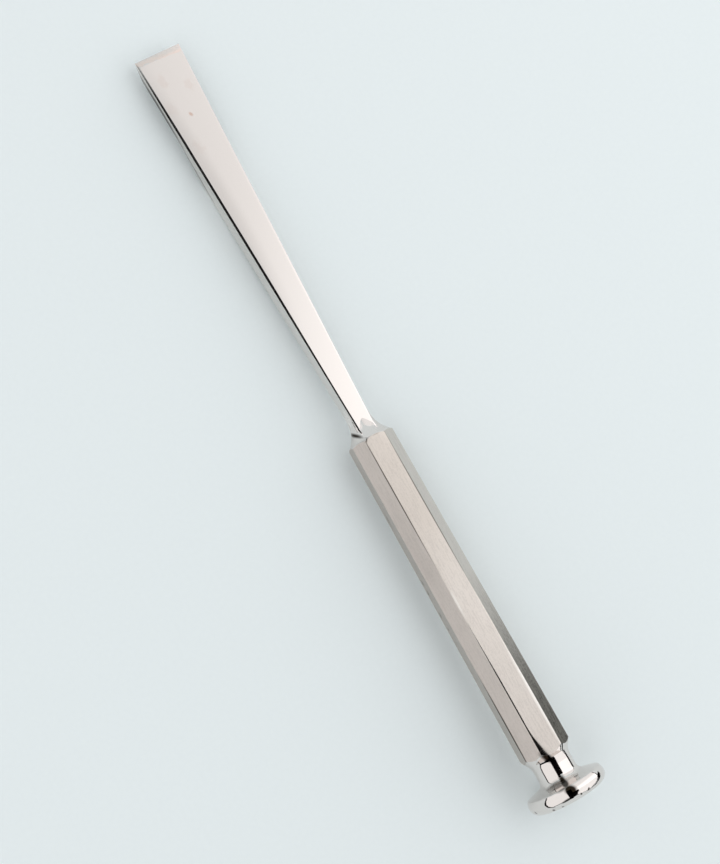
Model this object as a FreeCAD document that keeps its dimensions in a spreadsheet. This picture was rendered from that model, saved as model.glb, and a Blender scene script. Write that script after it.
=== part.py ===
# Bone chisel: one piece of stainless steel with a flared flat blade, an octagonal
# handle and a mushroom head that takes the mallet.
#
# The bar is modelled along X, as it would sit in a lathe: X is 0 at the top of the
# striking face and grows towards the cutting edge, Z points out of the flat face of
# the blade, and Y is across it. The body's Placement then lays the chisel down on the
# rim of its head and the heel of its blade. Lengths are in millimetres.
import FreeCAD, Part
import math
import os

import Sketcher

NODE = "bone_chisel"

# Driving dimensions: an alias in the sheet and its value.
DIMENSIONS = [
    # whole bar, and where its handle ends, both from the striking face
    ("total_length", 203.0),
    ("handle_end", 96.7),
    # octagonal handle: across the flats at the head end, the corners cut off there, and
    # across the flats at the blade end
    ("back_width", 11.9),
    ("back_depth", 11.71),
    ("back_corner", 3.18),
    ("front_width", 10.83),
    ("facet_round", 0.3),
    # turned cones at both ends of the handle: the radius of their slight crown
    ("cone_crown", 60.0),
    # turned shoulder and root between handle and blade
    ("shoulder_angle", 45.0),
    ("shoulder_hollow", 8.0),
    ("root_radius", 2.95),
    ("root_length", 11.0),
    ("root_runout", 4.0),
    ("root_point", 1.7),
    # turned collar and neck between handle and head
    ("collar_angle", 30.0),
    ("neck_place", 9.95),
    ("neck_radius", 4.86),
    ("collar_hollow", 4.0),
    # mushroom head
    ("underside_angle", 74.0),
    ("underside_hollow", 1.8),
    ("rim_top", 4.95),
    ("rim_bottom", 1.4),
    ("rim_radius", 9.4),
    ("rim_bulge", 3.1),
    ("rim_top_round", 0.5),
    ("rim_bottom_round", 2.2),
    # flared blade: its width at the edge and at the handle, its face and heel from the axis
    ("tip_width", 11.9),
    ("shank_width", 3.95),
    ("face_height", 3.0),
    ("heel_depth", 3.3),
    ("blade_round", 0.35),
    # relief ground in the back, from the cutting edge
    ("relief_start", 35.0),
    ("relief_end", 13.0),
    ("tip_thickness", 3.33),
    # cutting bevel on the back and honed band on the face
    ("bevel_length", 4.0),
    ("hone_length", 1.6),
    ("hone_drop", 0.4),
    ("edge_land", 0.06),
]


def make_sheet(doc):
    """The sheet of driving dimensions, a name and a number on each row."""
    sheet = doc.addObject("Spreadsheet::Sheet", "sizes")
    for row, (alias, number) in enumerate(DIMENSIONS, start=1):
        sheet.set(f"A{row}", alias)
        sheet.set(f"B{row}", str(number))
        sheet.setAlias(f"B{row}", alias)
    doc.recompute()
    return sheet


def value(expression):
    """The number that an expression on the sheet gives now."""
    result = sizes.evalExpression(expression)
    return float(getattr(result, "Value", result))


def origin_plane(body, role):
    """One of the body's own three origin planes."""
    for feature in body.Origin.OriginFeatures:
        if feature.Role == role:
            return feature
    raise ValueError(f"no plane {role}")


def new_sketch(body, name, role, offset="0"):
    """A sketch on an origin plane, moved off it along its normal."""
    sketch = body.newObject("Sketcher::SketchObject", name)
    sketch.AttachmentSupport = [(origin_plane(body, role), "")]
    sketch.MapMode = "FlatFace"
    sketch.setExpression("AttachmentOffset.Base.z", offset)
    return sketch


def arc_centre(start, end, radius, turn):
    """The centre of the arc that goes from start to end and turns left or right."""
    chord = end - start
    rise = math.sqrt(max(radius**2 - (chord.Length / 2) ** 2, 0.0))
    across = FreeCAD.Vector(-chord.y, chord.x, 0).normalize()
    side = 1 if turn == "left" else -1
    return (start + end) * 0.5 + across * (side * rise)


def draw_side(sketch, start, end, arc):
    """One side of an outline, with the numbers of its start and end points."""
    if arc is None:
        return sketch.addGeometry(Part.LineSegment(start, end), False), 1, 2
    radius, turn = arc
    centre = arc_centre(start, end, value(radius), turn)
    circle = Part.Circle(centre, FreeCAD.Vector(0, 0, 1), value(radius))
    first, last = (start, end) if turn == "left" else (end, start)
    angles = [math.atan2(p.y - centre.y, p.x - centre.x) for p in (first, last)]
    if angles[1] < angles[0]:
        angles[1] += 2 * math.pi
    side = sketch.addGeometry(Part.ArcOfCircle(circle, *angles), False)
    radius_lock = sketch.addConstraint(Sketcher.Constraint("Radius", side, value(radius)))
    sketch.setExpression(f"Constraints[{radius_lock}]", radius)
    return (side, 1, 2) if turn == "left" else (side, 2, 1)


def outline(sketch, corners, arcs=None):
    """A closed outline through corners, each a pair of expressions.

    arcs gives the sides that are arcs: the number of the corner where the side starts,
    its radius and the way it turns.
    """
    arcs = arcs or {}
    points = [FreeCAD.Vector(value(x), value(y), 0) for x, y in corners]
    sides = []
    for i, start in enumerate(points):
        end = points[(i + 1) % len(points)]
        sides.append(draw_side(sketch, start, end, arcs.get(i)))
    for i, (side, _, end_point) in enumerate(sides):
        following, start_point, _ = sides[(i + 1) % len(sides)]
        sketch.addConstraint(
            Sketcher.Constraint("Coincident", side, end_point, following, start_point)
        )
    for (side, start_point, _), corner, point in zip(sides, corners, points):
        for kind, expression, number in zip(("DistanceX", "DistanceY"), corner, (point.x, point.y)):
            lock = sketch.addConstraint(
                Sketcher.Constraint(kind, -1, 1, side, start_point, number)
            )
            sketch.setExpression(f"Constraints[{lock}]", expression)
    return sketch


def octagon_corners(width, depth, corner):
    """The corners of a bar with eight flats, seen along the bar."""
    half_width, half_depth = f"{width} / 2", f"{depth} / 2"
    flat, upright = f"({half_width} - {corner})", f"({half_depth} - {corner})"
    return [
        (half_width, f"-{upright}"),
        (half_width, upright),
        (flat, half_depth),
        (f"-{flat}", half_depth),
        (f"-({half_width})", upright),
        (f"-({half_width})", f"-{upright}"),
        (f"-{flat}", f"-({half_depth})"),
        (flat, f"-({half_depth})"),
    ]


def add_feature(body, kind, name, sketch):
    """A feature of the body that uses a sketch."""
    feature = body.newObject(f"PartDesign::{kind}", name)
    feature.Profile = sketch
    sketch.Visibility = False
    return feature


def turn(body, kind, name, sketch):
    """A feature turned once round the bar's axis."""
    feature = add_feature(body, kind, name, sketch)
    feature.ReferenceAxis = (sketch, ["H_Axis"])
    feature.Angle = 360
    return feature


def cut_across(body, name, sketch):
    """A cut right through the blade from one flank to the other."""
    feature = add_feature(body, "Pocket", name, sketch)
    feature.SideType = "Symmetric"
    feature.Type = "ThroughAll"
    return feature


def round_edges(body, name, base, radius, wanted):
    """A fillet on the edges of base for which wanted is true."""
    doc.recompute()
    edges = [f"Edge{i}" for i, edge in enumerate(base.Shape.Edges, start=1) if wanted(edge)]
    if not edges:
        raise ValueError(f"{name} finds no edge")
    feature = body.newObject("PartDesign::Fillet", name)
    feature.Base = (base, edges)
    feature.setExpression("Radius", radius)
    return feature


def points_along(edge):
    """Five points spread along an edge."""
    first, last = edge.ParameterRange
    return [edge.valueAt(first + (last - first) * share / 4) for share in range(5)]


# Places worked out from the driving dimensions, as expressions on the sheet.
TIP = "sizes.total_length"
BLADE_START = "(sizes.handle_end + sizes.root_length)"
TAPER = "((sizes.back_width - sizes.front_width) / 2)"
CORNER_RADIUS = (
    f"sqrt((sizes.front_width / 2)^2"
    f" + (sizes.back_depth / 2 - sizes.back_corner - {TAPER} * (sqrt(2) - 1))^2)"
)
SHOULDER_FOOT = (
    f"(sizes.handle_end + ({CORNER_RADIUS} - sizes.root_radius) / tan(sizes.shoulder_angle))"
)
SHOULDER_TANGENT = "(sizes.shoulder_hollow * tan(sizes.shoulder_angle / 2))"
NECK_FRONT = "(sizes.neck_place + sizes.collar_hollow * sin(sizes.collar_angle))"
NECK_FRONT_RADIUS = "(sizes.neck_radius + sizes.collar_hollow * (1 - cos(sizes.collar_angle)))"
NECK_BACK_RADIUS = (
    "(sizes.neck_radius + sizes.underside_hollow * (1 - cos(sizes.underside_angle)))"
)
NECK_BACK = (
    f"(sizes.rim_top + (sizes.rim_radius - {NECK_BACK_RADIUS}) / tan(sizes.underside_angle))"
)
NECK_FOOT = f"({NECK_BACK} + sizes.underside_hollow * sin(sizes.underside_angle))"
DOME_RADIUS = "((sizes.rim_radius^2 + sizes.rim_bottom^2) / (2 * sizes.rim_bottom))"
TIP_BACK = "(sizes.face_height - sizes.tip_thickness)"
EDGE_HEIGHT = "(sizes.face_height - sizes.hone_drop)"
RELIEF_START = "(sizes.total_length - sizes.relief_start)"
RELIEF_END = "(sizes.total_length - sizes.relief_end)"
RELIEF_RUN = "(sizes.relief_start - sizes.relief_end)"
RELIEF_RISE = f"({TIP_BACK} + sizes.heel_depth)"
RELIEF_RADIUS = f"(({RELIEF_RUN}^2 + {RELIEF_RISE}^2) / (2 * {RELIEF_RISE}))"
CLEAR = "2"

doc = FreeCAD.newDocument(NODE)
sizes = make_sheet(doc)
chisel = doc.addObject("PartDesign::Body", NODE)
chisel.Label = NODE

# Octagonal bar from the neck to the blade, its eight flats ground at a slight taper.
bar_sketch = outline(
    new_sketch(chisel, "bar_sketch", "YZ_Plane", NECK_FRONT),
    octagon_corners("sizes.back_width", "sizes.back_depth", "sizes.back_corner"),
)
bar = add_feature(chisel, "Pad", "bar", bar_sketch)
bar.setExpression("Length", f"{BLADE_START} - {NECK_FRONT}")
doc.recompute()
flats = []
for i, face in enumerate(bar.Shape.Faces, start=1):
    across = face.normalAt(0, 0)
    if abs(across.x) < 0.5:
        flats.append(f"Face{i}")
    elif across.x < 0:
        neck_end = f"Face{i}"
handle = chisel.newObject("PartDesign::Draft", "handle")
handle.Base = (bar, flats)
handle.NeutralPlane = (bar, [neck_end])
handle.setExpression("Angle", f"atan({TAPER} / ({BLADE_START} - {NECK_FRONT}))")
# The draft takes hold of its neutral plane in a second pass.
doc.recompute()
handle.touch()

# Shoulder: a cone turned on the front of the bar, hollowed into a slim root that fades
# into the blade.
shoulder_sketch = outline(
    new_sketch(chisel, "shoulder_sketch", "XZ_Plane"),
    [
        (f"sizes.handle_end - {CLEAR}", f"{CORNER_RADIUS} + {CLEAR} * tan(sizes.shoulder_angle)"),
        (
            f"{SHOULDER_FOOT} - {SHOULDER_TANGENT} * cos(sizes.shoulder_angle)",
            f"sizes.root_radius + {SHOULDER_TANGENT} * sin(sizes.shoulder_angle)",
        ),
        (f"{SHOULDER_FOOT} + {SHOULDER_TANGENT}", "sizes.root_radius"),
        (f"{BLADE_START} - sizes.root_runout", "sizes.root_radius"),
        (f"{BLADE_START} + {CLEAR}", "sizes.root_point"),
        (f"{BLADE_START} + {CLEAR}", f"{CORNER_RADIUS} + {CLEAR} * tan(sizes.shoulder_angle)"),
    ],
    {0: ("sizes.cone_crown", "right"), 1: ("sizes.shoulder_hollow", "left")},
)
shoulder = turn(chisel, "Groove", "shoulder", shoulder_sketch)

# Collar: a cone turned on the back of the bar, down to the neck.
collar_sketch = outline(
    new_sketch(chisel, "collar_sketch", "XZ_Plane"),
    [
        (NECK_FRONT, NECK_FRONT_RADIUS),
        (
            f"{NECK_FRONT} + 2 * {CLEAR}",
            f"{NECK_FRONT_RADIUS} + 2 * {CLEAR} * tan(sizes.collar_angle)",
        ),
        (
            f"{NECK_FRONT} - {CLEAR}",
            f"{NECK_FRONT_RADIUS} + 2 * {CLEAR} * tan(sizes.collar_angle)",
        ),
        (f"{NECK_FRONT} - {CLEAR}", NECK_FRONT_RADIUS),
    ],
    {0: ("sizes.cone_crown", "right")},
)
collar = turn(chisel, "Groove", "collar", collar_sketch)

# Neck and mushroom head: hollow neck, shallow underside, bulging rim, domed face.
head_sketch = outline(
    new_sketch(chisel, "head_sketch", "XZ_Plane"),
    [
        ("0", "0"),
        ("sizes.rim_bottom", "sizes.rim_radius"),
        ("sizes.rim_top", "sizes.rim_radius"),
        (NECK_BACK, NECK_BACK_RADIUS),
        (NECK_FOOT, "sizes.neck_radius"),
        ("sizes.neck_place", "sizes.neck_radius"),
        (NECK_FRONT, NECK_FRONT_RADIUS),
        (NECK_FRONT, "0"),
    ],
    {
        0: (DOME_RADIUS, "right"),
        1: ("sizes.rim_bulge", "right"),
        3: ("sizes.underside_hollow", "left"),
        5: ("sizes.collar_hollow", "left"),
    },
)
head = turn(chisel, "Revolution", "head", head_sketch)

# Blade: a flat bar that flares evenly from the handle to the cutting edge.
blade_sketch = outline(
    new_sketch(chisel, "blade_sketch", "XY_Plane", "-sizes.heel_depth"),
    [
        ("sizes.handle_end", "-sizes.shank_width / 2"),
        ("sizes.total_length", "-sizes.tip_width / 2"),
        ("sizes.total_length", "sizes.tip_width / 2"),
        ("sizes.handle_end", "sizes.shank_width / 2"),
    ],
)
blade = add_feature(chisel, "Pad", "blade", blade_sketch)
blade.setExpression("Length", "sizes.face_height + sizes.heel_depth")


def is_blade_edge(edge):
    """True on the four long edges of the blade."""
    heights = (value("sizes.face_height"), -value("sizes.heel_depth"))
    slope = value(f"(sizes.tip_width - sizes.shank_width) / 2 / ({TIP} - sizes.handle_end)")
    half_shank = value("sizes.shank_width / 2")
    for point in points_along(edge):
        half_width = half_shank + slope * (point.x - value("sizes.handle_end"))
        on_flank = abs(abs(point.y) - half_width) < 1e-4
        if not on_flank or min(abs(point.z - height) for height in heights) > 1e-4:
            return False
    return edge.Length > value("sizes.total_length") / 4


blade_edges = round_edges(chisel, "blade_edges", blade, "sizes.blade_round", is_blade_edge)

# Relief: the back is ground hollow towards the tip, then runs flat to the bevel.
relief_sketch = outline(
    new_sketch(chisel, "relief_sketch", "XZ_Plane"),
    [
        (RELIEF_START, "-sizes.heel_depth"),
        (RELIEF_END, TIP_BACK),
        (f"{TIP} - sizes.bevel_length", TIP_BACK),
        (TIP, f"{EDGE_HEIGHT} - sizes.edge_land"),
        (f"{TIP} + {CLEAR}", f"{EDGE_HEIGHT} - sizes.edge_land"),
        (f"{TIP} + {CLEAR}", f"-sizes.heel_depth - {CLEAR}"),
        (RELIEF_START, f"-sizes.heel_depth - {CLEAR}"),
    ],
    {0: (RELIEF_RADIUS, "right")},
)
relief = cut_across(chisel, "relief", relief_sketch)

# Honed band on the face, down to the cutting edge.
hone_sketch = outline(
    new_sketch(chisel, "hone_sketch", "XZ_Plane"),
    [
        (f"{TIP} - sizes.hone_length", "sizes.face_height"),
        (TIP, EDGE_HEIGHT),
        (f"{TIP} + {CLEAR}", EDGE_HEIGHT),
        (f"{TIP} + {CLEAR}", f"sizes.face_height + {CLEAR}"),
        (f"{TIP} - sizes.hone_length", f"sizes.face_height + {CLEAR}"),
    ],
)
hone = cut_across(chisel, "hone", hone_sketch)


def is_facet_edge(edge):
    """True on the eight long edges between the flats of the handle."""
    length = value(f"sizes.handle_end - {NECK_FRONT}")
    outside = min(math.hypot(point.y, point.z) for point in points_along(edge))
    return edge.Length > 0.8 * length and outside > value(f"{CORNER_RADIUS} - 0.1")


facet_edges = round_edges(chisel, "facet_edges", hone, "sizes.facet_round", is_facet_edge)


def is_circle_at(edge, place, radius):
    """True on a circle round the bar's axis at a place along it."""
    return all(
        abs(point.x - place) < 1e-4 and abs(math.hypot(point.y, point.z) - radius) < 1e-4
        for point in points_along(edge)
    )


def is_rim_top(edge):
    """True on the circle between the rim of the head and its underside."""
    return is_circle_at(edge, value("sizes.rim_top"), value("sizes.rim_radius"))


def is_rim_bottom(edge):
    """True on the circle between the rim of the head and the striking face."""
    return is_circle_at(edge, value("sizes.rim_bottom"), value("sizes.rim_radius"))


rim_top = round_edges(chisel, "rim_top", facet_edges, "sizes.rim_top_round", is_rim_top)
rim_bottom = round_edges(chisel, "rim_bottom", rim_top, "sizes.rim_bottom_round", is_rim_bottom)
chisel.Tip = rim_bottom

# Rest: the rim of the head and the heel of the blade touch the ground, and the middle
# of the chisel's box stands over the origin.
RIM_CENTRE = "((sizes.rim_top + sizes.rim_bottom) / 2)"
RIM_INSET = (
    "sqrt(sizes.rim_bulge^2 - ((sizes.rim_top - sizes.rim_bottom) / 2)^2)"
)
HEEL_REACH = f"({RELIEF_START} - {RIM_CENTRE})"
HEEL_DROP = f"(sizes.rim_radius - {RIM_INSET} - sizes.heel_depth)"
REST_ANGLE = (
    f"(atan({HEEL_DROP} / {HEEL_REACH})"
    f" + asin(sizes.rim_bulge / sqrt({HEEL_REACH}^2 + {HEEL_DROP}^2)))"
)
TIP_REACH = f"({TIP} * cos({REST_ANGLE}) + {EDGE_HEIGHT} * sin({REST_ANGLE}))"
HEAD_REACH = f"({DOME_RADIUS} * (1 - cos({REST_ANGLE})))"
chisel.Placement = FreeCAD.Placement(
    FreeCAD.Vector(), FreeCAD.Rotation(FreeCAD.Vector(0, 1, 0), value(REST_ANGLE))
)
chisel.setExpression("Placement.Rotation.Angle", REST_ANGLE)
chisel.setExpression("Placement.Base.x", f"({HEAD_REACH} - {TIP_REACH}) / 2")
chisel.setExpression(
    "Placement.Base.z",
    f"{RELIEF_START} * sin({REST_ANGLE}) + sizes.heel_depth * cos({REST_ANGLE})",
)
doc.recompute()

for item in doc.Objects:
    if {"Invalid", "Error"} & set(item.State):
        raise ValueError(f"{item.Label} is {item.State}")
    shape = getattr(item, "Shape", None)
    if item.isDerivedFrom("PartDesign::Feature") and (shape.isNull() or not shape.isValid()):
        raise ValueError(f"{item.Label} has no sound shape")
if len(chisel.Shape.Solids) != 1:
    raise ValueError(f"{chisel.Label} has {len(chisel.Shape.Solids)} solids")

os.makedirs("parts", exist_ok=True)
chisel.Shape.exportStep(f"parts/{chisel.Label}.step")
box = chisel.Shape.BoundBox
print(f"{chisel.Label}: {box}, volume {chisel.Shape.Volume:.0f}")
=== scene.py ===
import math

import bpy
from mathutils import Matrix, Vector

MM = 0.001

# The lathe axis of the chisel: its start, at the middle of the striking face, in mm, how
# far its tip dips, in degrees, and the way it points. Finishes are laid out in mm along
# that axis: X from the striking face to the cutting edge, Y across to the left as the
# camera sees it, and Z out of the flat face of the blade.
AXIS_START = (-101.4566, 0.0, 10.0811)
AXIS_DIP = 2.3142
AXIS = Vector((0.99918, 0.0, -0.04038))

# Places along the chisel, in mm from the striking face.
NECK_END = 11.9
BLADE_FOOT = 96.7
FLATS_END = 97.7
BLADE_START = 98.2
HONED_START = 201.4
TIP = 203.0

# Radius in mm of the domed striking face, and how far round its middle normals are mended.
DOME_RADIUS = 32.257
MENDED_RADIUS = 2.6

# Half widths in mm, and how they change along the chisel: of the blade from its foot on,
# and of the front flat of the handle from the neck on.
BLADE_HALF, BLADE_SPREAD = 1.975, 0.03739
FLAT_HALF, FLAT_SPREAD = 2.77, -0.00232

# Tangent of the angle by which a polished edge leans outwards, about 13 degrees.
ROLL_LEAN = 0.226

# How much of a face's normal has to point a way: for the top faces, for the other faces
# that look straight that way, and for the slanted flats. From the first to the second
# number, a face comes to count in full.
TOPMOST = 0.93, 0.97
STRAIGHT = 0.85, 0.95
SLANTED = 0.5, 0.6

# Length in mm over which one finish gives way to the next, where the change is sharp.
CHANGEOVER = 0.05

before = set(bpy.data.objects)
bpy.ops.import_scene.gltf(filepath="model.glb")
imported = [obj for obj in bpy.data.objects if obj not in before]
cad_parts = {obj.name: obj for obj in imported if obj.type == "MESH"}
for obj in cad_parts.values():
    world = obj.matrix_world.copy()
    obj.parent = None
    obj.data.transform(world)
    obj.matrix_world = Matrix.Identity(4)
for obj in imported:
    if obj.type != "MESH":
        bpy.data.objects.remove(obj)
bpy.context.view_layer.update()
bpy.ops.object.select_all(action="DESELECT")


def colour(hex_code):
    """Linear colour of an sRGB hex code, such as "8A8F94"."""
    channels = [int(hex_code[i : i + 2], 16) / 255 for i in (0, 2, 4)]
    linear = [c / 12.92 if c <= 0.04045 else ((c + 0.055) / 1.055) ** 2.4 for c in channels]
    return (*linear, 1.0)


def add(tree, kind, settings=None, **inputs):
    """A node with its settings and its inputs.

    An input is named as on the node, with _ for a space, or in_ and its number. It takes a
    value, an output of another node, or another node for the first output in use there.
    """
    node = tree.nodes.new("ShaderNode" + kind)
    for name, value in (settings or {}).items():
        setattr(node, name, value)
    for name, value in inputs.items():
        key = int(name[3:]) if name.startswith("in_") else name.replace("_", " ")
        if isinstance(value, bpy.types.Node):
            value = next(out for out in value.outputs if out.enabled)
        if isinstance(value, bpy.types.NodeSocket):
            tree.links.new(value, node.inputs[key])
        else:
            node.inputs[key].default_value = value
    return node


# Settings of the nodes that are used most. A smooth range rises from 0 to its To_Max, or
# falls where From_Min is the higher, so a range within another takes that one as To_Max.
SMOOTH = {"interpolation_type": "SMOOTHSTEP"}
TIMES = {"operation": "MULTIPLY"}
PLUS = {"operation": "ADD"}
MINUS = {"operation": "SUBTRACT"}
DIVIDE = {"operation": "DIVIDE"}
ABSOLUTE = {"operation": "ABSOLUTE"}
MOST = {"operation": "MAXIMUM"}
TIMES_PLUS = {"operation": "MULTIPLY_ADD"}
LENGTH = {"operation": "LENGTH"}
NORMALIZE = {"operation": "NORMALIZE"}
COLOUR = {"data_type": "RGBA"}
VECTOR = {"data_type": "VECTOR"}
INTO_FRAME = {"vector_type": "TEXTURE"}


def new_material(name):
    """An empty material, with its node tree and its output node."""
    material = bpy.data.materials.new(name)
    material.use_nodes = True
    tree = material.node_tree
    tree.nodes.clear()
    return material, tree, tree.nodes.new("ShaderNodeOutputMaterial")


def speckle(tree, place, stretch, size):
    """Noise round 0.5 whose grain is size mm wide, drawn out along the axis by stretch."""
    spread = add(tree, "Mapping", INTO_FRAME, Vector=place, Scale=(stretch, 1.0, 1.0))
    return add(tree, "TexNoise", Vector=spread, Scale=1 / size, Detail=2.0)


def marks(tree, place, lines):
    """How strongly a place is marked by any of some lines.

    A line is its start, its end, its half width and its strength, in mm and from 0 to 1. It
    fades at its sides and thins out to its ends. A strength above 1 gives it a full core
    and firmer edges.
    """
    total = 0.0
    for start, end, half_width, strength in lines:
        run = Vector(end) - Vector(start)
        within = add(
            tree, "Mapping", INTO_FRAME, Vector=place,
            Location=(Vector(start) + Vector(end)) / 2,
            Rotation=run.to_track_quat("X", "Z").to_euler(),
            Scale=(run.length / 2 + half_width, half_width, half_width),
        )
        away = add(tree, "VectorMath", LENGTH, Vector=within)
        mark = add(
            tree, "MapRange", SMOOTH, Value=away, From_Min=1.0, From_Max=0.3,
            To_Max=strength,
        )
        total = add(tree, "Math", MOST, in_0=total, in_1=mark)
    return total


# Surgical stainless steel, forged and ground from one bar. The flats of the handle are
# satin ground, a soft grey grain; the blade is fine polished, a pale blurred mirror; neck
# and head are buffed to a clear mirror.
steel, tree, output = new_material("ground_and_polished_stainless_steel")
where = add(tree, "TexCoord")
place = add(
    tree, "Mapping", INTO_FRAME, Vector=where.outputs["Object"],
    Location=[v * MM for v in AXIS_START], Rotation=(0, math.radians(AXIS_DIP), 0),
    Scale=(MM, MM, MM),
)
facing = add(
    tree, "Mapping", {"vector_type": "VECTOR"}, Vector=where.outputs["Normal"],
    Rotation=(0, math.radians(-AXIS_DIP), 0),
)
x, y, z = add(tree, "SeparateXYZ", Vector=place).outputs
face_x, face_y, face_z = add(tree, "SeparateXYZ", Vector=facing).outputs

# Satin only on the eight flats: turned surfaces look along the bar, flats don't.
before_end = add(
    tree, "MapRange", Value=x, From_Min=FLATS_END, From_Max=FLATS_END - CHANGEOVER
)
along_handle = add(
    tree, "MapRange", Value=x, From_Min=NECK_END, From_Max=NECK_END + CHANGEOVER,
    To_Max=before_end,
)
slant = add(tree, "Math", ABSOLUTE, in_0=face_x)
satin = add(
    tree, "MapRange", SMOOTH, Value=slant, From_Min=0.14, From_Max=0.1, To_Max=along_handle
)
on_blade = add(
    tree, "MapRange", SMOOTH, Value=x, From_Min=FLATS_END - 4.0, From_Max=FLATS_END + 1.0
)
# Flats and faces, by the way they look.
face_up = add(
    tree, "MapRange", SMOOTH, Value=face_z, From_Min=TOPMOST[0], From_Max=TOPMOST[1]
)
sidewards = add(
    tree, "MapRange", SMOOTH, Value=face_y, From_Min=STRAIGHT[0], From_Max=STRAIGHT[1]
)
leftwards = add(
    tree, "MapRange", SMOOTH, Value=face_y, From_Min=SLANTED[0], From_Max=SLANTED[1]
)
rightwards = add(
    tree, "MapRange", SMOOTH, Value=face_y, From_Min=-SLANTED[0], From_Max=-SLANTED[1]
)
right_front = add(
    tree, "MapRange", SMOOTH, Value=face_z, From_Min=SLANTED[0], From_Max=SLANTED[1],
    To_Max=rightwards,
)
outwards = add(tree, "Math", ABSOLUTE, in_0=face_y)
blade_side = add(
    tree, "MapRange", SMOOTH, Value=outwards, From_Min=STRAIGHT[0], From_Max=STRAIGHT[1],
    To_Max=on_blade,
)
blade_face = add(tree, "Math", TIMES, in_0=face_up, in_1=on_blade)
front_flat = add(tree, "Math", TIMES, in_0=face_up, in_1=satin)

# Long grinding strokes: grit marks are finer than 0.1 mm, and drawn 0.3 mm wide to show.
strokes = speckle(tree, place, 12.0, 0.3)
# Soft tooth across them, drawn coarser too, and the slow waves of hand grinding.
tooth = speckle(tree, place, 2.0, 0.25)
clouds = speckle(tree, place, 3.0, 6.0)

# The polisher's wheel rolls off the long edges of the blade. The surface leans outwards by
# about 13 degrees there, and shines, over 0.24 mm at the foot, 0.58 mm halfway and 0.4 mm
# at the tip.
across = add(tree, "Math", ABSOLUTE, in_0=y)
side = add(tree, "Math", {"operation": "SIGN"}, in_0=y)
from_foot = add(tree, "Math", MINUS, in_0=x, in_1=BLADE_FOOT)
blade_half = add(
    tree, "Math", TIMES_PLUS, in_0=from_foot, in_1=BLADE_SPREAD, in_2=BLADE_HALF
)
blade_margin = add(tree, "Math", MINUS, in_0=blade_half, in_1=across)
past_foot = add(
    tree, "MapRange", SMOOTH, Value=x, From_Min=BLADE_START, From_Max=BLADE_START + 1.0
)
inside = add(
    tree, "MapRange", Value=blade_margin, From_Min=-0.12, From_Max=-0.06, To_Max=past_foot
)
blade_top = add(
    tree, "MapRange", SMOOTH, Value=z, From_Min=2.62, From_Max=2.72, To_Max=inside
)
tip_width = add(
    tree, "MapRange", Value=x, From_Min=TIP, From_Max=180.0, To_Min=0.4, To_Max=0.58
)
roll_width = add(
    tree, "MapRange", Value=x, From_Min=98.0, From_Max=140.0, To_Min=0.24, To_Max=tip_width
)
blade_share = add(tree, "Math", DIVIDE, in_0=blade_margin, in_1=roll_width)
blade_roll = add(
    tree, "MapRange", SMOOTH, Value=blade_share, From_Min=1.05, From_Max=0.85,
    To_Max=blade_top,
)
# So it does on the left of the front flat of the handle, in a band that widens to 0.48 mm,
# and to 2.4 mm at the neck.
from_neck = add(tree, "Math", MINUS, in_0=x, in_1=NECK_END)
flat_half = add(tree, "Math", TIMES_PLUS, in_0=from_neck, in_1=FLAT_SPREAD, in_2=FLAT_HALF)
flat_margin = add(tree, "Math", MINUS, in_0=flat_half, in_1=y)
band = add(
    tree, "MapRange", Value=x, From_Min=50.0, From_Max=34.0, To_Min=0.01, To_Max=0.48
)
wide_band = add(
    tree, "MapRange", SMOOTH, Value=x, From_Min=20.5, From_Max=10.5, To_Min=band, To_Max=2.4
)
flat_share = add(tree, "Math", DIVIDE, in_0=flat_margin, in_1=wide_band)
flat_roll = add(
    tree, "MapRange", SMOOTH, Value=flat_share, From_Min=1.0, From_Max=0.3,
    To_Max=front_flat,
)
rolled = add(tree, "Math", MOST, in_0=blade_roll, in_1=flat_roll)
roll_lean = add(tree, "Math", TIMES, in_0=side, in_1=ROLL_LEAN)
rolled_normal = add(tree, "CombineXYZ", X=0.04, Y=roll_lean, Z=1.0)
# The face of the blade is very slightly crowned, and dips towards its left edge halfway.
crown = add(tree, "Math", TIMES, in_0=y, in_1=blade_face)
dip = marks(tree, place, [((170.0, 4.6, 3.0), (120.0, 2.7, 3.0), 1.3, 0.035)])
lean = add(tree, "Math", TIMES_PLUS, in_0=crown, in_1=0.011, in_2=dip)
leaning = add(
    tree, "VectorMath", PLUS, in_0=where.outputs["Normal"],
    in_1=add(tree, "CombineXYZ", Y=lean),
)
finished = add(tree, "Mix", VECTOR, in_0=rolled, in_4=leaning, in_5=rolled_normal)
# The mesh has one stray normal in the middle of the striking face. Round it the normals
# are taken from the middle of the dome instead.
from_dome = add(
    tree, "VectorMath", MINUS, in_0=where.outputs["Object"],
    in_1=(Vector(AXIS_START) + AXIS * DOME_RADIUS) * MM,
)
dome_normal = add(tree, "VectorMath", NORMALIZE, in_0=from_dome)
from_pole = add(tree, "VectorMath", LENGTH, Vector=place)
at_pole = add(
    tree, "MapRange", Value=from_pole, From_Min=MENDED_RADIUS, From_Max=MENDED_RADIUS - 0.4
)
mended = add(tree, "Mix", VECTOR, in_0=at_pole, in_4=finished, in_5=dome_normal)
surface = add(tree, "VectorMath", NORMALIZE, in_0=mended)

# Uneven lower border of the honed band at the cutting edge, where the stone left streaks.
blotches = speckle(tree, place, 0.7, 1.3)
uneven = add(tree, "Math", TIMES_PLUS, in_0=blotches, in_1=1.4, in_2=x)
border = add(tree, "Math", TIMES_PLUS, in_0=y, in_1=-0.09, in_2=uneven)
honed = add(
    tree, "MapRange", SMOOTH, Value=border, From_Min=HONED_START + 0.6,
    From_Max=HONED_START + 0.8, To_Max=face_up,
)
streak = add(
    tree, "MapRange", SMOOTH, Value=border, From_Min=HONED_START + 1.9,
    From_Max=HONED_START + 1.2, To_Max=honed,
)

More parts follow.
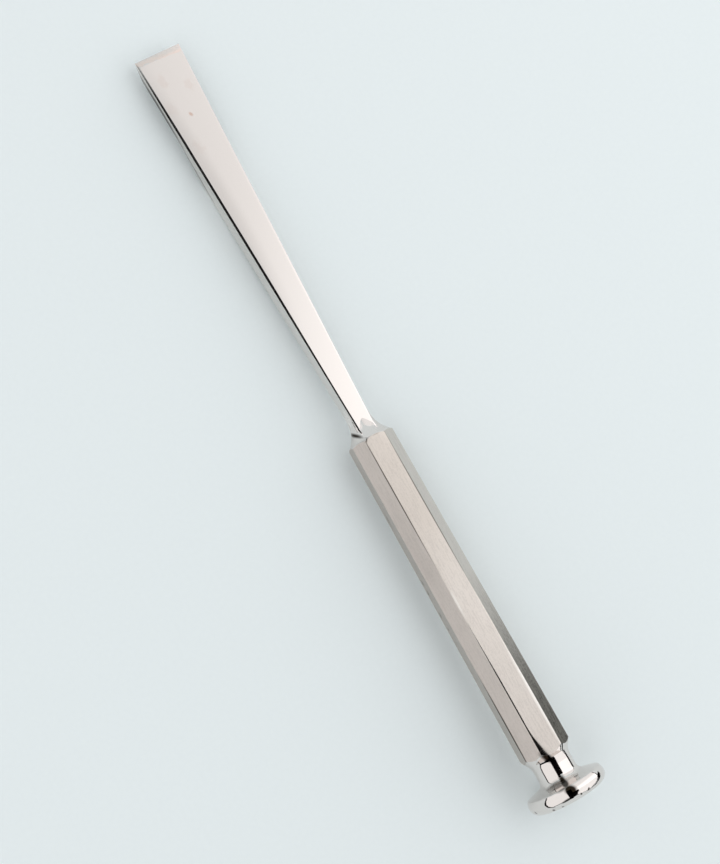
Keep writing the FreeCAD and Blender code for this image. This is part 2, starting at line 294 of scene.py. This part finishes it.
# The sides of the blade are left as ground, with a pale blur.
face_roughness = add(tree, "MapRange", Value=on_blade, To_Min=0.05, To_Max=0.16)
polished_roughness = add(tree, "Mix", in_0=blade_side, in_2=face_roughness, in_3=0.34)
satin_roughness = add(tree, "MapRange", Value=clouds, To_Min=0.28, To_Max=0.48)
unrolled = add(tree, "Mix", in_0=satin, in_2=polished_roughness, in_3=satin_roughness)
roughness = add(tree, "Mix", in_0=rolled, in_2=unrolled, in_3=0.1)

# Each flat was ground in its own strokes, so their greys differ a little. Painted light
# comes on top: the front flat is painted paler, more so towards the head, the sides are
# painted darker, and towards the head the right front flat is painted dark, a painted dark
# reflection.
headwards = add(tree, "MapRange", Value=x, From_Min=74.0, From_Max=56.0)
painted_dark_right_flat = add(
    tree, "MapRange", SMOOTH, Value=x, From_Min=64.0, From_Max=20.0, To_Max=right_front
)
grey = colour("D5CCC4")
for share, hex_code in (
    (headwards, "E1D9D2"),
    (leftwards, "C8C0BA"),
    (sidewards, "CAC2BB"),
    (right_front, "CEC9C3"),
    (painted_dark_right_flat, "7A766F"),
):
    grey = add(tree, "Mix", COLOUR, in_0=share, in_6=grey, in_7=colour(hex_code))
# Colour of the blade, with painted light on its sides: they are painted paler than its
# face.
blade_with_painted_light = add(
    tree, "Mix", COLOUR, in_0=blade_side, in_6=colour("E1DBD7"), in_7=colour("EEEAE6")
)
bright = add(tree, "Mix", COLOUR, in_0=satin, in_6=blade_with_painted_light, in_7=grey)
# Dark flecks in the grain, coarse on the right front flat towards the head, where it is
# painted dark.
grain = add(tree, "Math", PLUS, in_0=strokes, in_1=tooth)
coarse = add(tree, "MapRange", Value=painted_dark_right_flat, To_Min=0.17, To_Max=0.9)
fleck = add(
    tree, "MapRange", SMOOTH, Value=grain, From_Min=0.85, From_Max=1.3,
    To_Max=add(tree, "Math", TIMES, in_0=satin, in_1=coarse),
)
fleck_grey = add(
    tree, "Mix", COLOUR, in_0=painted_dark_right_flat, in_6=colour("8C857F"), in_7=colour("3C3936")
)
flecked = add(tree, "Mix", COLOUR, in_0=fleck, in_6=bright, in_7=fleck_grey)
whetted = add(tree, "Mix", COLOUR, in_0=honed, in_6=flecked, in_7=colour("E0D6D1"))
streaked = add(tree, "Mix", COLOUR, in_0=streak, in_6=whetted, in_7=colour("E8D8D0"))

# Handling has left pits in the left side of the handle, nicks along the rim from the
# mallet, a tool mark on the shoulder, and faint pink stains and one brown spot on the
# blade. The dark marks also hold painted shade in the creases and the groove, and painted
# dark reflections along edges, collar, neck and rim.
DARK_MARKS = [
    # Painted dark reflections along the long edges of the front flat, and of the left side
    # by the head.
    ((108.0, 2.54, 5.25), (57.0, 2.66, 5.56), 0.2, 0.85),
    ((108.0, -2.6, 5.22), (46.0, -2.73, 5.6), 0.27, 0.75),
    ((40.0, 5.77, 2.61), (4.0, 5.99, 2.7), 0.4, 0.9),
    # Painted shade in the creases at the ends of the left front flat and of the front flat.
    ((11.9, 6.1, 2.3), (11.9, 2.5, 6.0), 0.16, 0.75),
    ((97.1, 4.62, 3.07), (96.9, 2.4, 5.38), 0.18, 0.55),
    ((97.2, 1.6, 5.25), (97.0, -1.6, 5.38), 0.14, 0.4),
    # A painted dark reflection on the collar, from the corner of the front flat down to the
    # neck.
    ((13.9, 2.7, 5.75), (10.6, 0.5, 4.97), 1.2, 1.0),
    # Tool mark across the left of the shoulder.
    ((100.4, 3.8, -0.3), (97.7, 2.4, 4.4), 0.75, 1.0),
    ((98.6, 2.9, 2.8), (96.9, 1.4, 5.5), 0.24, 0.9),
    ((97.4, 1.7, 5.2), (96.2, 2.6, 5.35), 0.26, 0.9),
    # Painted dark reflections along the left edge and on the left side of the blade, near
    # the tip.
    ((209.0, 6.18, 3.0), (172.0, 4.8, 3.0), 0.5, 0.95),
    ((203.5, 6.0, 2.2), (198.5, 5.8, -0.3), 0.8, 0.7),
    ((204.0, 6.0, 0.6), (178.0, 5.1, 0.0), 1.7, 0.85),
    ((192.0, 5.5, -0.1), (160.0, 4.3, -2.6), 0.9, 0.5),
    # Cutting edge.
    ((203.3, 6.4, 2.55), (203.3, -6.4, 2.55), 0.3, 0.45),
    # Painted shade in the groove under the head, and a painted dark reflection from the
    # neck up to the rim.
    ((5.6, -1.4, 6.9), (5.7, -2.2, 6.5), 0.6, 0.6),
    ((5.7, 4.7, 4.9), (5.6, 3.7, 5.5), 0.8, 0.55),
    ((6.2, 4.7, 4.2), (6.0, 1.2, 6.2), 1.6, 0.7),
    ((5.6, 4.7, 5.8), (5.5, 1.4, 7.2), 1.2, 0.75),
    ((7.0, 0.9, 4.4), (4.9, 1.9, 9.2), 1.2, 1.4),
    # Painted dark reflections along the top, the middle and the foot of the rim.
    ((4.95, 4.4, 8.4), (4.95, 0.8, 9.3), 0.8, 0.6),
    ((4.35, 2.0, 9.45), (3.7, 1.2, 9.8), 1.5, 1.3),
    ((2.3, 4.8, 8.5), (2.6, 1.6, 9.7), 0.5, 0.75),
    # Pits.
    ((80.5, 5.57, -0.9), (76.0, 5.59, -0.8), 0.4, 0.4),
    ((61.9, 5.66, -1.1), (60.6, 5.68, -1.2), 0.4, 0.7),
    ((59.2, 5.69, -1.0), (57.8, 5.69, -1.6), 0.45, 0.6),
    ((53.3, 5.72, -0.9), (51.9, 5.73, -1.5), 0.4, 0.7),
    ((49.2, 5.74, -1.0), (48.6, 5.74, -1.1), 0.35, 0.6),
    # Nicks.
    ((2.8, 9.55, 1.9), (2.2, 9.6, 2.1), 0.4, 1.0),
    ((1.8, 6.6, 6.45), (1.4, 6.6, 6.4), 0.45, 1.0),
    ((1.4, 4.7, 7.7), (1.1, 4.5, 7.7), 0.4, 1.0),
    ((2.2, -0.1, 9.6), (1.8, -0.2, 9.6), 0.35, 1.0),
    ((2.3, -2.4, 9.3), (1.9, -2.2, 9.3), 0.4, 1.0),
    # Painted shade over the left of the blade and of the left front flat.
    ((208.0, 6.5, 3.0), (125.0, 3.4, 3.0), 5.0, 0.13),
    ((86.0, 4.2, 3.9), (54.0, 4.4, 4.1), 2.6, 0.07),
]
STAINS = [
    ((197.0, 2.6, 3.0), (194.6, 2.0, 3.0), 1.5, 0.13),
    ((193.6, -3.1, 3.0), (191.8, -3.7, 3.0), 1.4, 0.13),
    ((190.2, 3.9, 3.0), (187.4, 3.4, 3.0), 1.4, 0.09),
    ((180.0, 2.4, 3.0), (176.0, 2.2, 3.0), 1.3, 0.1),
]
SPOT = [((186.2, 0.15, 3.0), (185.6, -0.1, 3.0), 0.55, 0.75)]
# Painted highlights on the front flat: by its left edge, and along its right edge towards
# the head.
PAINTED_HIGHLIGHTS = [
    ((57.8, 2.4, 5.57), (48.8, 2.5, 5.64), 0.4, 0.6),
    ((44.0, -2.5, 5.63), (8.0, -2.62, 5.76), 0.5, 0.9),
]
# The stains have wandering outlines: noise shifts them by up to 2 mm.
wander = add(tree, "TexNoise", Vector=place, Scale=0.8, Detail=2.0)
shift = add(
    tree, "VectorMath", TIMES_PLUS, in_0=wander.outputs["Color"], in_1=(4.0, 4.0, 0.0),
    in_2=(-2.0, -2.0, 0.0),
)
wandering = add(tree, "VectorMath", PLUS, in_0=place, in_1=shift)
stains = add(
    tree, "Math", MOST, in_0=marks(tree, wandering, STAINS), in_1=marks(tree, place, SPOT)
)
stained = add(tree, "Mix", COLOUR, in_0=stains, in_6=streaked, in_7=colour("CDB1A3"))
painted_highlight = marks(tree, place, PAINTED_HIGHLIGHTS)
with_painted_highlight = add(tree, "Mix", COLOUR, in_0=painted_highlight, in_6=stained, in_7=colour("F6F1EC"))
# Pits, nicks and the tool mark, together with painted shade and painted dark reflections,
# all drawn in one dark brown.
dirt_and_painted_shade = marks(tree, place, DARK_MARKS)
worn_and_painted_shade = add(tree, "Mix", COLOUR, in_0=dirt_and_painted_shade, in_6=with_painted_highlight, in_7=colour("2B231B"))

# Grain that can be felt, on the flats and the blade.
relief = add(tree, "Math", MOST, in_0=satin, in_1=on_blade)
stroke_height = add(tree, "Math", TIMES, in_0=strokes, in_1=relief)
tooth_height = add(tree, "Math", TIMES, in_0=tooth, in_1=satin)
height = add(
    tree, "Math", TIMES_PLUS, in_0=stroke_height, in_1=0.25, in_2=tooth_height
)
bump = add(tree, "Bump", Strength=0.3, Distance=0.02 * MM, Height=height, Normal=surface)
shader = add(
    tree, "BsdfPrincipled", Base_Color=worn_and_painted_shade, Metallic=1.0, Roughness=roughness, Normal=bump
)
tree.links.new(shader.outputs[0], output.inputs["Surface"])

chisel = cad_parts["bone_chisel"]
for slot in chisel.material_slots:
    slot.material = steel

# The pale blue grey that stands behind everything. Distances from the object, in metres,
# from which the floor runs into it, and at which only that is left.
BACKGROUND = "E7EFF1"
FLOOR_SIZE = 12
SWEEP_START, SWEEP_END = 0.28, 0.55


def background_rays(tree):
    """1 for what is seen straight on, or in or through a surface, and 0 for other light."""
    rays = add(tree, "LightPath").outputs
    mirrored = add(
        tree, "Math", MOST, in_0=rays["Is Glossy Ray"], in_1=rays["Is Transmission Ray"]
    )
    return add(tree, "Math", MOST, in_0=rays["Is Camera Ray"], in_1=mirrored)


# Matt paper, pale and very slightly fibrous, that takes the chisel's soft shadow. Far from
# the chisel it runs into the plain background.
bpy.ops.mesh.primitive_plane_add(size=FLOOR_SIZE)
floor = bpy.context.object
floor.name = "floor"
paper, tree, output = new_material("pale_paper_floor")
spot = add(tree, "TexCoord").outputs["Object"]
fibres = add(tree, "TexNoise", Vector=spot, Scale=900.0)
shade = add(tree, "Mix", COLOUR, in_0=fibres, in_6=colour("ECF5F7"), in_7=colour("EFF8FA"))
matt = add(tree, "BsdfPrincipled", Base_Color=shade, Roughness=0.9)
distance = add(tree, "VectorMath", LENGTH, Vector=spot)
far = add(
    tree, "MapRange", SMOOTH, Value=distance, From_Min=SWEEP_START, From_Max=SWEEP_END,
    To_Max=background_rays(tree),
)
plain = add(tree, "Emission", Color=colour(BACKGROUND))
sweep = add(tree, "MixShader", Fac=far, in_1=matt, in_2=plain)
tree.links.new(sweep.outputs[0], output.inputs["Surface"])
floor.data.materials.append(paper)

# Black velvet that backs the softboxes and hangs between them. The steel mirrors it as the
# crisp dark lines between its bright faces.
black, tree, output = new_material("black_studio_velvet")
velvet = add(
    tree, "BsdfPrincipled", Base_Color=colour("0B0A0A"), Roughness=1.0,
    Specular_IOR_Level=0.0,
)
tree.links.new(velvet.outputs[0], output.inputs["Surface"])

# The studio is laid out round the chisel's axis: an angle of 0 is towards the camera, and
# it grows towards the right of the picture. Distances are in metres.
TO_CAMERA = Vector((0.03922, 0.23773, 0.97054))
TO_RIGHT = Vector((0.00960, -0.97133, 0.23754))
STUDIO_RADIUS = 0.7
# How far behind a softbox its black backing hangs, and how far it shows past the head end.
BACKING_GAP, BACKING_PAST = 0.01, 0.2
# Where a softbox's light fades: at its inner border, between these distances to the right
# of the axis, and at its ends, between these places along X.
BORDER_FADE = 0.25, 0.5
TIP_FADE = 0.07, 0.3
HEAD_FADE = -0.12, -0.3


def lay(thing, angles, reaches, radius):
    """Stands a flat thing between two angles and between two places along the axis.

    The places are in metres from the middle of the chisel, towards its tip. The result is
    the length and the width that it needs.
    """
    middle = math.radians(sum(angles) / 2)
    outwards = TO_CAMERA * math.cos(middle) + TO_RIGHT * math.sin(middle)
    turn = Matrix((AXIS, outwards.cross(AXIS), outwards)).transposed()
    thing.rotation_mode = "QUATERNION"
    thing.rotation_quaternion = turn.to_quaternion()
    thing.location = outwards * radius + AXIS * sum(reaches) / 2
    half_angle = math.radians(angles[1] - angles[0]) / 2
    return reaches[1] - reaches[0], 2 * radius * math.tan(half_angle)


def black_card(name):
    """A flat piece of the black velvet, seen only in reflections."""
    bpy.ops.mesh.primitive_plane_add(size=1)
    card = bpy.context.object
    card.name = name
    card.data.materials.append(black)
    card.visible_camera = False
    card.visible_shadow = False
    return card


def velvet_piece(name, angles, reaches, radius):
    """A black card between two angles and between two places along the axis."""
    piece = black_card(name)
    piece.scale = (*lay(piece, angles, reaches, radius), 1)


def softbox(name, angles, reaches, radiance, tip_share, head_share, border_share):
    """A softbox on a black backing, between two angles and two places along the axis.

    Its light fades to a share at the end towards the tip, at the end towards the head, and
    at the border over the middle of the picture.
    """
    light = bpy.data.lights.new(name, "AREA")
    lamp = bpy.data.objects.new(name, light)
    bpy.context.collection.objects.link(lamp)
    light.shape = "RECTANGLE"
    light.size, light.size_y = lay(lamp, angles, reaches, STUDIO_RADIUS)
    light.energy = radiance * math.pi * light.size * light.size_y
    light.use_nodes = True
    glow = light.node_tree
    glow.nodes.clear()
    spot = add(glow, "NewGeometry").outputs["Position"]
    sideways = add(
        glow, "VectorMath", {"operation": "DOT_PRODUCT"}, in_0=spot, in_1=TO_RIGHT
    )
    inwards = add(
        glow, "MapRange", Value=sideways, From_Min=BORDER_FADE[0], From_Max=BORDER_FADE[1],
        To_Min=border_share,
    )
    along = add(glow, "SeparateXYZ", Vector=spot).outputs["X"]
    tipwards = add(
        glow, "MapRange", SMOOTH, Value=along, From_Min=TIP_FADE[0], From_Max=TIP_FADE[1],
        To_Min=1.0, To_Max=tip_share,
    )
    headwards = add(
        glow, "MapRange", SMOOTH, Value=along, From_Min=HEAD_FADE[0], From_Max=HEAD_FADE[1],
        To_Min=tipwards, To_Max=head_share,
    )
    strength = add(glow, "Math", TIMES, in_0=inwards, in_1=headwards)
    add(glow, "OutputLight", Surface=add(glow, "Emission", Strength=strength))
    lamp.visible_camera = False
    ends = reaches[0] - BACKING_PAST, reaches[1]
    velvet_piece(f"{name}_edge", angles, ends, STUDIO_RADIUS + BACKING_GAP)


softbox("left_softbox", (-71, -3), (-0.9, 0.8), 1.06, 1.0, 1.0, 1.0)
softbox("right_softbox", (17, 101), (-1.5, 0.8), 1.5, 0.7, 0.79, 0.88)
# Velvet beside and between the softboxes, each piece this gap behind them or, below 0, in
# front.
for name, angles, reaches, gap in (
    ("middle_velvet", (-5, 9), (-1.9, 0.315), 0.02),
    ("neck_velvet", (8, 25), (-1.3, -0.05), -0.02),
    ("far_velvet", (-40, -5), (-1.5, -1.05), 0.03),
    ("left_velvet", (-76.5, -70), (-1.1, 0.8), 0.02),
    ("right_velvet", (100.5, 104.5), (-1.7, 0.8), 0.02),
):
    velvet_piece(name, angles, reaches, STUDIO_RADIUS + gap)
# One more card lies on the floor, to the right of the head.
floor_card = black_card("floor_card")
floor_card.location = (-0.2, -0.41, 0.001)
floor_card.scale = (0.23, 0.68, 1.0)
floor_card.visible_diffuse = False

# Pale grey walls all round, that look like the plain background.
scene = bpy.context.scene
scene.world = bpy.data.worlds.new("studio_walls")
scene.world.use_nodes = True
tree = scene.world.node_tree
tree.nodes.clear()
paint = add(
    tree, "Mix", COLOUR, in_0=background_rays(tree), in_6=colour("C8C2C0"),
    in_7=colour(BACKGROUND),
)
walls = add(tree, "Background", Color=paint, Strength=1.0)
add(tree, "OutputWorld", Surface=walls)

# The camera stands over the chisel, at the photograph's angle.
camera_data = bpy.data.cameras.new("camera")
camera_data.lens = 75
camera_data.sensor_width = 36
camera = bpy.data.objects.new("camera", camera_data)
bpy.context.collection.objects.link(camera)
camera.location = (-0.017862, 0.102468, 0.420468)
camera.rotation_euler = [math.radians(a) for a in (8.5488, -10.9821, -119.3015)]
scene.camera = camera
scene.view_settings.view_transform = "Standard"
